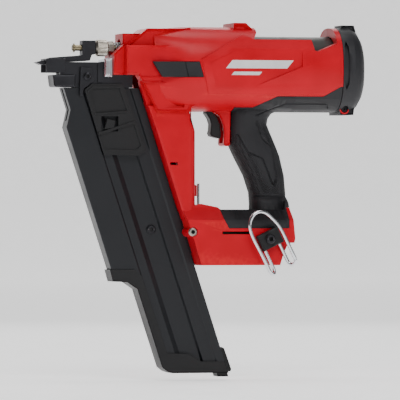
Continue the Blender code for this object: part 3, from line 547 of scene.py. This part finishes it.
# %% [markdown]
# New pieces start as primitives. A plate is a filled circle whose corners are moved to
# its outline and then extruded. A turned piece is a profile spun round its axis. A rod
# or a coil is a curve with a round bevel, made a mesh at once.

# %% Plate, turned piece, rod and screw


def plate(name, outline, y0, y1):
    """An outline of (x, z) in millimetres extruded from y0 to y1."""
    bpy.ops.object.select_all(action="DESELECT")
    bpy.ops.mesh.primitive_circle_add(vertices=len(outline), radius=0.01, fill_type="NGON")
    piece = bpy.context.object
    piece.name = name
    for vertex, (x, z) in zip(piece.data.vertices, outline):
        vertex.co = (x * MM, y0 * MM, z * MM)
    bpy.ops.object.mode_set(mode="EDIT")
    bpy.ops.mesh.select_all(action="SELECT")
    bpy.ops.mesh.extrude_region_move(
        TRANSFORM_OT_translate={"value": (0.0, (y1 - y0) * MM, 0.0)})
    bpy.ops.mesh.select_all(action="SELECT")
    bpy.ops.mesh.normals_make_consistent(inside=False)
    bpy.ops.object.mode_set(mode="OBJECT")
    return piece


def spun(name, profile, centre, axis="X", steps=48):
    """A profile of (along, radius) in millimetres spun round an axis through a centre."""
    bpy.ops.object.select_all(action="DESELECT")
    bpy.ops.mesh.primitive_circle_add(vertices=len(profile), radius=0.01)
    piece = bpy.context.object
    piece.name = name
    middle = Vector(centre) * MM
    for vertex, (along, radius) in zip(piece.data.vertices, profile):
        if axis == "X":
            vertex.co = middle + Vector((along * MM, 0, radius * MM))
        else:
            vertex.co = middle + Vector((0, along * MM, radius * MM))
    bpy.ops.object.mode_set(mode="EDIT")
    bpy.ops.mesh.select_all(action="SELECT")
    bpy.ops.mesh.spin(steps=steps, angle=math.tau, center=tuple(middle),
                      axis=(1, 0, 0) if axis == "X" else (0, 1, 0))
    bpy.ops.mesh.select_all(action="SELECT")
    bpy.ops.mesh.remove_doubles(threshold=0.000005)
    bpy.ops.mesh.dissolve_degenerate(threshold=0.000005)
    bpy.ops.mesh.select_all(action="SELECT")
    bpy.ops.mesh.normals_make_consistent(inside=False)
    bpy.ops.object.mode_set(mode="OBJECT")
    bpy.ops.object.shade_smooth_by_angle(angle=math.radians(35))
    return piece


def rod(name, points, radius, resolution=4):
    """A round rod through points in millimetres."""
    curve = bpy.data.curves.new(name, "CURVE")
    curve.dimensions = "3D"
    spline = curve.splines.new("POLY")
    spline.points.add(len(points) - 1)
    for target, point in zip(spline.points, points):
        target.co = (point[0] * MM, point[1] * MM, point[2] * MM, 1.0)
    spline.use_smooth = True
    curve.bevel_depth = radius * MM
    curve.bevel_resolution = resolution
    curve.use_fill_caps = True
    piece = bpy.data.objects.new(name, curve)
    bpy.context.scene.collection.objects.link(piece)
    only(piece)
    bpy.ops.object.convert(target="MESH")
    piece = bpy.context.object
    bpy.ops.object.mode_set(mode="EDIT")
    bpy.ops.mesh.select_all(action="SELECT")
    bpy.ops.mesh.remove_doubles(threshold=0.000005)
    bpy.ops.mesh.normals_make_consistent(inside=False)
    bpy.ops.object.mode_set(mode="OBJECT")
    bpy.ops.object.shade_smooth_by_angle(angle=math.radians(50))
    return piece


def coil(centre, radius, pitch, turns, per_turn=20):
    """Points of a spring along X."""
    points = []
    for k in range(int(turns * per_turn) + 1):
        angle = math.tau * k / per_turn
        points.append((centre[0] + pitch * k / per_turn,
                       centre[1] + radius * math.cos(angle),
                       centre[2] + radius * math.sin(angle)))
    return points


def socket_screw(name, centre, radius, depth, side, shank=None, key=0.52):
    """A screw along Y with a hexagon socket; centre is its top, shank (radius, end)."""
    top, foot = centre[1], centre[1] - side * depth
    profile = [(top, 0.0), (top, radius * 0.8), (top - side * radius * 0.2, radius),
               (foot, radius)]
    if shank:
        profile += [(foot, shank[0]), (shank[1], shank[0]), (shank[1], 0.0)]
    else:
        profile.append((foot, 0.0))
    head = spun(name, profile, (centre[0], 0, centre[2]), "Y", 40)
    hexagon = [(centre[0] + radius * key * math.cos(math.tau * k / 6),
                centre[2] + radius * key * math.sin(math.tau * k / 6)) for k in range(6)]
    deep = min(depth - 0.4, radius * 0.8) if not shank else radius * 0.8
    carve(head, "DIFFERENCE", plate("socket", hexagon, *sorted((top + side, top - side * deep))))
    bpy.ops.object.shade_smooth_by_angle(angle=math.radians(35))
    return head


print("makers ready")

# %% [markdown]
# ## The red shell
#
# Two moulded halves meet on the mid-plane. The CAD halves carry the panel, the ridge,
# the scoop and the bay. Their edges are rounded here, as a mould's are, since a sharp
# edge catches no light and looks like cut card.

# %% Shell halves
SHELL_ROUND = 0.9 * MM
shell_left = refine("housing_left", "red_shell_left", RED, SHELL_ROUND)
shell_right = refine("housing_right", "red_shell_right", RED, SHELL_ROUND)

# %% [markdown]
# The motor housing narrows under the barrel, and its wall is left open in a slot at each
# rear corner. A thin rod stands in each slot as a rib. On the left the fan is less than
# a millimetre behind it, so it can't be thicker, and it doesn't close the slot.

# %% Corner ribs of the motor housing
for side, label in ((-1, "left"), (1, "right")):
    rib = rod(f"corner_rib_{label}", [(-84.9, side * 22.4, 43.5), (-87.0, side * 20.7, 56.0)],
              1.7)
    hand_over(rib, RED, f"housing_{label}", replaced=False)

# %% [markdown]
# Two plain white slanted stripes are printed on each side panel. They are thin plates
# laid against the shell: a grid is projected onto it along Y and thickened.

# %% Printed stripes
PRINT_PROUD = 0.12 * MM
STAND_OFF = 60.0
COLUMN, ROW = 8.0, 2.6
LONG_STRIPE = [(-50.0, 95.0), (16.0, 95.0), (23.0, 103.5), (-43.0, 103.5)]
SHORT_STRIPE = [(-44.0, 88.0), (-14.0, 88.0), (-11.0, 91.5), (-41.0, 91.5)]


def printed(name, outline, side, shell):
    """A plate of an outline cut small and wrapped on the shell's side."""
    made = plate(name, outline, side * STAND_OFF, side * STAND_OFF + 0.2)
    only(made)
    bpy.ops.object.mode_set(mode="EDIT")
    bpy.ops.mesh.select_all(action="SELECT")
    for k in range(-9, 6):
        bpy.ops.mesh.select_all(action="SELECT")
        bpy.ops.mesh.bisect(plane_co=(k * COLUMN * MM, 0, 0), plane_no=(1, 0, 0))
    for k in range(30, 44):
        bpy.ops.mesh.select_all(action="SELECT")
        bpy.ops.mesh.bisect(plane_co=(0, 0, k * ROW * MM), plane_no=(0, 0, 1))
    bpy.ops.object.mode_set(mode="OBJECT")
    shape = bmesh.new()
    shape.from_mesh(made.data)
    level = side * STAND_OFF * MM
    others = [f for f in shape.faces if abs(f.calc_center_median().y - level) > 0.00001]
    bmesh.ops.delete(shape, geom=others, context="FACES")
    shape.to_mesh(made.data)
    shape.free()
    wrap = made.modifiers.new("wrap", "SHRINKWRAP")
    wrap.target = shell
    wrap.wrap_method = "PROJECT"
    wrap.use_project_y = True
    wrap.use_negative_direction = True
    wrap.use_positive_direction = True
    wrap.offset = PRINT_PROUD * 0.5
    thick = made.modifiers.new("thick", "SOLIDIFY")
    thick.thickness = PRINT_PROUD
    thick.offset = 0.0
    apply_all(made)
    bpy.ops.object.mode_set(mode="EDIT")
    bpy.ops.mesh.select_all(action="SELECT")
    bpy.ops.mesh.normals_make_consistent(inside=False)
    bpy.ops.object.mode_set(mode="OBJECT")
    return made


for side, shell, label in ((-1, shell_left, "left"), (1, shell_right, "right")):
    node = "housing_" + label
    for kind, outline in (("long", LONG_STRIPE), ("short", SHORT_STRIPE)):
        stripe = printed(f"{kind}_stripe_{label}", outline, side, shell)
        hand_over(stripe, PRINT, node, replaced=False)

# %% [markdown]
# ## The rubber grip
#
# The skin wraps the handle, the band under the barrel and the foot's shoulders. A
# narrow groove frames a plain island on the handle's side, and the skin in front of
# and behind it carries the dots. The skin is bisected into small squares, so that each
# face can be given to one zone, and rods laid on the surface cut the grooves.

# %% Grip zones and grooves
FRONT_LINE = [(-31.0, 27.0), (-19.5, 8.0), (-4.0, 1.5), (6.5, -25.0), (8.5, -26.5),
              (11.5, -14.0), (8.5, -1.5), (6.5, 14.5), (-5.5, 23.5), (-11.0, 43.5)]
UPPER_SEAM = [(-11.5, 46.5), (17.3, 58.4), (62.2, 58.4), (66.0, 52.5)]
LOWER_SEAM = [(-12.0, -38.7), (24.0, -38.7)]
SMOOTH_ISLAND = [(-31.0, 27.0), (-19.5, 8.0), (-4.0, 1.5), (6.5, -25.0), (11.5, -14.0),
                 (8.5, -1.5), (6.5, 14.5), (-5.5, 23.5), (-11.0, 43.5), (-22.0, 60.0),
                 (-40.0, 60.0), (-40.0, 27.0)]
DOT_TOP, DOT_LOW, DOT_REAR = 40.0, -36.0, 30.0


def on_surface(piece, outline, side, step=2.0):
    """Points every two millimetres along an outline, dropped onto a piece's side."""
    points = []
    for (x0, z0), (x1, z1) in zip(outline, outline[1:]):
        count = max(1, round(math.hypot(x1 - x0, z1 - z0) / step))
        for k in range(count):
            x, z = x0 + (x1 - x0) * k / count, z0 + (z1 - z0) * k / count
            found, place, _, _ = piece.ray_cast(Vector((x, side * 90.0, z)) * MM,
                                                Vector((0, -side, 0)))
            if found:
                points.append((x, place.y / MM, z))
    return points


def inside(x, z, outline):
    """Whether a point lies in a closed outline."""
    crossings = 0
    for (x0, z0), (x1, z1) in zip(outline, outline[1:] + outline[:1]):
        if (z0 > z) != (z1 > z) and x < x0 + (z - z0) / (z1 - z0) * (x1 - x0):
            crossings += 1
    return crossings % 2 == 1


print("grip outlines:", len(FRONT_LINE), len(UPPER_SEAM), len(LOWER_SEAM), "points")

# %% Grip halves
GROOVE = 0.9
GRIP_ROUND = 0.7 * MM
GRID = 2.5
GRID_X, GRID_Z = (-40, 32), (-38, 58)


HEEL = [(10.0, -36.0), (20.6, -37.5), (23.8, -43.0), (24.6, -54.0), (10.0, -54.0)]


def grip(node, name, side):
    heel = plate("heel", HEEL, *sorted((side * 0.2, side * 15.5)))
    skin = round_edges(carve(copy_of(node, name), "UNION", heel), GRIP_ROUND)
    lines = [on_surface(skin, line, side) for line in (FRONT_LINE, UPPER_SEAM, LOWER_SEAM)]
    bpy.ops.object.mode_set(mode="EDIT")
    for span, normal in ((GRID_X, (1, 0, 0)), (GRID_Z, (0, 0, 1))):
        for k in range(int((span[1] - span[0]) / GRID)):
            bpy.ops.mesh.select_all(action="SELECT")
            place = tuple((span[0] + k * GRID) * MM * part for part in normal)
            bpy.ops.mesh.bisect(plane_co=place, plane_no=normal)
    bpy.ops.object.mode_set(mode="OBJECT")
    for points in lines:
        if len(points) > 1:
            carve(skin, "DIFFERENCE", rod("groove", points, GROOVE, 1))
    bpy.ops.object.shade_smooth_by_angle(angle=math.radians(40))
    skin.data.materials.clear()
    skin.data.materials.append(RUBBER)
    skin.data.materials.append(RUBBER_DOTS)
    for face in skin.data.polygons:
        x, _, z = face.center / MM
        if DOT_LOW < z < DOT_TOP and x < DOT_REAR and not inside(x, z, SMOOTH_ISLAND):
            face.material_index = 1
    return hand_over(skin, None, node)


grip("grip_left", "rubber_grip_left", -1)
grip("grip_right", "rubber_grip_right", 1)

# %% [markdown]
# ## Rear cap, pads and gas cylinder
#
# The cap is one black moulding over the cylinder's end, held by a screw on each side
# through a red washer. The pads are rubber blocks let into the snout, and a shallow
# groove crosses each of them. The cylinder is a drawn and painted steel can.

# %% Cap, red washers and pads
rear_cap = round_edges(copy_of("rear_cap", "rear_cap_black"), 0.8 * MM)
SIDE_RECESS = [(78.9, 118.0), (81.0, 124.5), (83.6, 118.0), (83.6, 79.5), (81.0, 73.0),
               (78.9, 79.5)]
CAP_HALF, CAP_TALL, RECESS_DEEP = 42.6, 44.6, 1.6
for side in (-1, 1):
    band = plate("band", SIDE_RECESS, *sorted((side * 30.0, side * 50.0)))
    core = spun("core", [(60.0, 0.0), (60.0, CAP_HALF - RECESS_DEEP),
                         (110.0, CAP_HALF - RECESS_DEEP), (110.0, 0.0)], (0, 0, 0), steps=64)
    stretch = (CAP_TALL - RECESS_DEEP) / (CAP_HALF - RECESS_DEEP)
    for vertex in core.data.vertices:
        vertex.co.z = vertex.co.z * stretch + 94.5 * MM
    carve(rear_cap, "DIFFERENCE", carve(band, "DIFFERENCE", core))
bpy.ops.object.shade_smooth_by_angle(angle=math.radians(30))
hand_over(rear_cap, CAP_BLACK, "rear_cap")
CAP_SCREW = (84.0, 53.2)
BOSS_FACE = 21.0
PAD_GROOVE, GROOVE_DEEP = [(-94.2, 104.0), (-93.2, 104.0), (-88.4, 83.0), (-89.4, 83.0)], 0.8
PAD_SPOT, PAD_ROUND = (-91.3, 93.6), 0.6 * MM
for side, label in ((-1, "left"), (1, "right")):
    washer = spun(f"red_washer_{label}", [
        (side * (BOSS_FACE - 0.4), 3.7), (side * (BOSS_FACE - 0.4), 5.2),
        (side * (BOSS_FACE + 0.3), 5.0), (side * (BOSS_FACE + 0.5), 4.7),
        (side * (BOSS_FACE + 0.5), 3.7)], (CAP_SCREW[0], 0, CAP_SCREW[1]), "Y", 40)
    hand_over(washer, RED, "rear_cap", replaced=False)
    pad = copy_of(f"pad_{label}", f"rubber_pad_{label}")
    _, face, _, _ = pad.ray_cast(Vector((PAD_SPOT[0], side * 90.0, PAD_SPOT[1])) * MM,
                                Vector((0, -side, 0)))
    ys = sorted((side * 60.0, face.y / MM - side * GROOVE_DEEP))
    groove = plate("groove", PAD_GROOVE, *ys)
    hand_over(round_edges(carve(pad, "DIFFERENCE", groove), PAD_ROUND), RUBBER, f"pad_{label}")

# %% Gas cylinder
BARREL_AXIS = (0.0, 0.0, 94.5)
TANK = [(-58.0, 32.0), (-58.0, 34.2), (-57.2, 35.0), (70.0, 35.0), (72.6, 34.0), (74.0, 31.8),
        (74.0, 4.2), (70.0, 4.2), (70.0, 28.0), (66.0, 32.0)]
hand_over(spun("gas_can", TANK, BARREL_AXIS, steps=96), GREY_CAN, "gas_cylinder")

# %% [markdown]
# ## The nose and the contact arm
#
# The nosepiece is a blackened casting with ground faces, the collar a bright die
# casting and the arm bent from plate. The depth wheel is a knurled nickel nut with a
# hexagon behind it: turning it moves the contact foot along the rod.

# %% Nose parts
refine("nosepiece", "nose_casting", DARK_STEEL, 0.5 * MM)
refine("nose_cover", "nose_plate", DARK_STEEL, 0.6 * MM)
refine("front_collar", "collar_casting", SILVER, 0.7 * MM)
refine("magazine_lug", "lug_plate", DARK_STEEL, 0.4 * MM)
refine("contact_foot", "contact_arm", DARK_STEEL, 0.4 * MM)

# %% Contact rod, depth wheel and spring
ROD_AXIS = (0.0, 0.0, 116.2)
ROD = [(-204.7, 0.0), (-204.7, 2.4), (-204.0, 3.2), (-203.2, 3.2), (-203.2, 4.6),
       (-203.0, 4.8), (-202.4, 4.8), (-202.2, 4.6), (-202.2, 3.2), (-131.0, 3.2),
       (-130.0, 2.4), (-130.0, 0.0)]
hand_over(spun("push_rod", ROD, ROD_AXIS), BRASS, "contact_rod")
COLUMNS = 88
WHEEL = [(-180.6, 3.6), (-180.6, 6.1), (-178.4, 8.5), (-178.2, 8.7), (-168.5, 8.7),
         (-168.2, 8.5), (-167.4, 7.7), (-167.4, 3.6)]
wheel = spun("depth_wheel_knurled", WHEEL, ROD_AXIS, steps=COLUMNS)
KNURL_FROM, KNURL_DEPTH = 8.6 * MM, 0.5 * MM
for vertex in wheel.data.vertices:
    arm = Vector((0.0, vertex.co.y, vertex.co.z - ROD_AXIS[2] * MM))
    step = round(math.atan2(arm.z, arm.y) / math.tau * COLUMNS)
    if arm.length > KNURL_FROM and step % 2:
        vertex.co -= arm.normalized() * KNURL_DEPTH
HEXAGON = [(-167.6, 3.6), (-167.6, 6.9), (-161.2, 7.2), (-160.5, 6.6), (-160.5, 3.6)]
carve(wheel, "UNION", spun("hexagon", HEXAGON, ROD_AXIS, steps=6))
bpy.ops.object.shade_smooth_by_angle(angle=math.radians(20))
hand_over(wheel, NICKEL, "depth_wheel")
arm_spring = rod("arm_spring", coil((-159.2, 0.0, ROD_AXIS[2]), 5.6, 1.75, 4.2), 0.55)
hand_over(arm_spring, STEEL, "contact_spring")

# %% [markdown]
# ## The magazine
#
# A drawn aluminium body, a moulded end cap round its lower half and a moulded loading
# panel with a window. Ribs stiffen the panel, and the stop behind its window is a
# small sprung tab.

# %% Magazine body and end cap
refine("magazine_body", "magazine_extrusion", ANODISED, 0.35 * MM, 20.0)
refine("magazine_end_cap", "magazine_shoe", BLACK, 0.8 * MM)
refine("magazine_bracket", "magazine_clamp", BLACK, 0.4 * MM)
refine("loading_latch", "latch_tab", BLACK, 0.6 * MM)
refine("pusher", "nail_pusher", STEEL, 0.3 * MM)

# %% Loading panel
PANEL_FACE = -14.0
panel = copy_of("loading_panel", "loading_cover")
UPPER_RECESS = [(-188.6, 69.4), (-184.4, 73.2), (-157.4, 73.6), (-149.2, 50.6), (-181.4, 47.6)]
LOWER_RECESS = [(-178.6, 25.0), (-141.8, 36.4), (-134.2, 14.4), (-139.0, 10.2), (-173.2, 10.8)]
for k, recess in enumerate((UPPER_RECESS, LOWER_RECESS)):
    carve(panel, "DIFFERENCE", plate(f"recess_{k}", recess, PANEL_FACE - 2.0, PANEL_FACE + 1.1))
RIBS = [
    [(-191.4, 71.0), (-185.6, 76.0), (-155.8, 76.4), (-155.2, 74.4), (-184.8, 74.0),
     (-190.6, 69.2)],
    [(-179.6, 25.2), (-140.4, 37.8), (-141.4, 40.4), (-180.4, 27.8)],
    [(-184.0, 46.2), (-149.0, 49.0), (-149.6, 50.8), (-184.4, 48.0)],
]
for k, rib in enumerate(RIBS):
    carve(panel, "UNION", plate(f"rib_{k}", rib, PANEL_FACE - 1.0, PANEL_FACE + 0.6))
hand_over(round_edges(panel, 0.35 * MM), BLACK, "loading_panel")
refine("nail_stop", "stop_tab", BLACK, 0.5 * MM)

# %% [markdown]
# ## Trigger, hook and fasteners
#
# The trigger is a moulded lever. The hook is a chrome wire bent round and back into a
# clamp that turns on one socket screw. Heads are turned and their sockets broached, and
# the inside of each socket is painted black as shade.

# %% Trigger and its spring
refine("trigger", "trigger_lever", BLACK, 0.9 * MM)
return_spring = rod("return_spring", coil((-45.4, 0.0, 43.5), 2.6, 1.7, 4.5), 0.45)
hand_over(return_spring, STEEL, "trigger_spring")

# %% Belt hook
HOOK_PIVOT, HOOK_TILT = (-3.6, -82.6), math.radians(26)
NEAR, FAR, ENDS = -43.0, -51.0, 29.0


def on_hook(across, down, y):
    """A point in the hook's own tilted plane."""
    c, s = math.cos(HOOK_TILT), math.sin(HOOK_TILT)
    return (HOOK_PIVOT[0] + across * c + down * s, y, HOOK_PIVOT[1] + across * s - down * c)


def return_bend(inner, outer, steps=12):
    """A leg's end turning back from the clamp's level to the loop's."""
    bend = []
    for k in range(steps + 1):
        angle = math.pi * k / steps
        share = (1 - math.cos(angle)) / 2
        bend.append(on_hook(inner + (outer - inner) * share, ENDS + 5.2 * math.sin(angle),
                            NEAR + (FAR - NEAR) * share))
    return bend


def flowing(points, parts=5):
    """A Catmull-Rom line through points."""
    ends = [points[0]] + [*points] + [points[-1]]
    line = []
    for a, b, c, d in zip(ends, ends[1:], ends[2:], ends[3:]):
        a, b, c, d = Vector(a), Vector(b), Vector(c), Vector(d)
        for k in range(parts):
            t = k / parts
            line.append(((2 * b) + (c - a) * t + (2 * a - 5 * b + 4 * c - d) * t * t
                         + (3 * b - a - 3 * c + d) * t ** 3) / 2)
    return line + [Vector(points[-1])]


LOOP = [(-16.2, 20.0), (-16.8, 5.0), (-17.2, -10.0), (-16.2, -19.0), (-13.0, -26.0),
        (-7.5, -30.4), (-1.5, -31.6), (4.0, -29.4), (8.0, -24.0), (12.4, -12.0),
        (13.8, -3.0), (14.0, 10.0)]
wire_path = [on_hook(-9.5, 9.2, NEAR), on_hook(-9.5, 20.0, NEAR)]
wire_path += return_bend(-9.5, -16.2)
wire_path += [on_hook(a, d, FAR) for a, d in LOOP]
wire_path += list(reversed(return_bend(7.5, 14.0)))
wire_path += [on_hook(7.5, 20.0, NEAR), on_hook(7.5, 9.2, NEAR)]
hook_loop = rod("hook_loop", flowing(wire_path, 3), 1.85, 5)
hand_over(hook_loop, CHROME, "hook_wire")
refine("hook_bracket", "hook_clamp", BLACK, 0.7 * MM)

# %% Socket screws
FOOT_BOLT = (-84.7, -75.2)
SCREWS = [
    ("lug_screw", "lug_head", (-191.6, -17.4, 86.2), 3.8, 2.5, None, DARK_STEEL),
    ("magazine_screw", "magazine_head", (-121.7, -8.6, -72.6), 4.7, 1.9, None, DARK_STEEL),
    ("hook_screw", "hook_pivot_screw", (HOOK_PIVOT[0], -50.0, HOOK_PIVOT[1]), 4.9, 3.1,
     (2.9, -34.0), DARK_STEEL),
    ("foot_bolt", "foot_bolt_zinc", (FOOT_BOLT[0], -39.4, FOOT_BOLT[1]), 4.5, 3.8,
     (3.3, 38.8), NICKEL),
]
for node, name, centre, radius, depth, shank, material in SCREWS:
    screw = hand_over(socket_screw(name, centre, radius, depth, -1, shank), material, node)
    # the faces inside each socket get black nylon as painted shade
    paint_recess_shade(screw, BLACK, centre, radius * 0.54)

# %% [markdown]
# The bolt goes through a tube on each half of the foot, which stands open to the front
# where the foot is cut back for the magazine.

# %% Bolt tubes in the foot
for side, label in ((-1, "left"), (1, "right")):
    tube = spun(f"bolt_tube_{label}", [(side * 35.3, 3.7), (side * 35.3, 4.9), (side * 34.8, 5.3),
                                       (side * 13.0, 5.3), (side * 13.0, 3.7)],
                (FOOT_BOLT[0], 0, FOOT_BOLT[1]), "Y", 40)
    hand_over(tube, RED, f"housing_{label}", replaced=False)

# %% [markdown]
# ## Parts kept as the CAD model has them
#
# Most are inside the shells and seen only through gaps or when a part moves. They keep
# their meshes, and each gets the finish of its own metal or plastic.

# %% Finishes on the CAD nodes
KEPT = {
    STEEL: ["cylinder_head", "drive_cylinder", "piston", "lifter_wheel", "lifter_gear",
            "output_gear", "lifter_bearing_left", "lifter_bearing_right", "gearbox_case",
            "motor_rotor", "trigger_pin", "pusher_spring"],
    DARK_STEEL: ["driver_blade", "cap_screw_left", "cap_screw_right", "shell_screw_1",
                 "shell_screw_2", "shell_screw_3"],
    BLACK: ["trigger_switch", "battery_terminal", "cooling_fan"],
    RUBBER: ["piston_seal"],
    BRASS: ["fill_valve"],
    COPPER: ["motor_stator"],
    CHROME: ["hex_key"],
    BOARD: ["control_board"],
    AMBER: ["bumper"],
}
for material, nodes in KEPT.items():
    for node in nodes:
        mesh = frame["nodes"][node].data
        mesh.materials.clear()
        mesh.materials.append(material)
print("finished nodes:", sum(map(len, KEPT.values())))
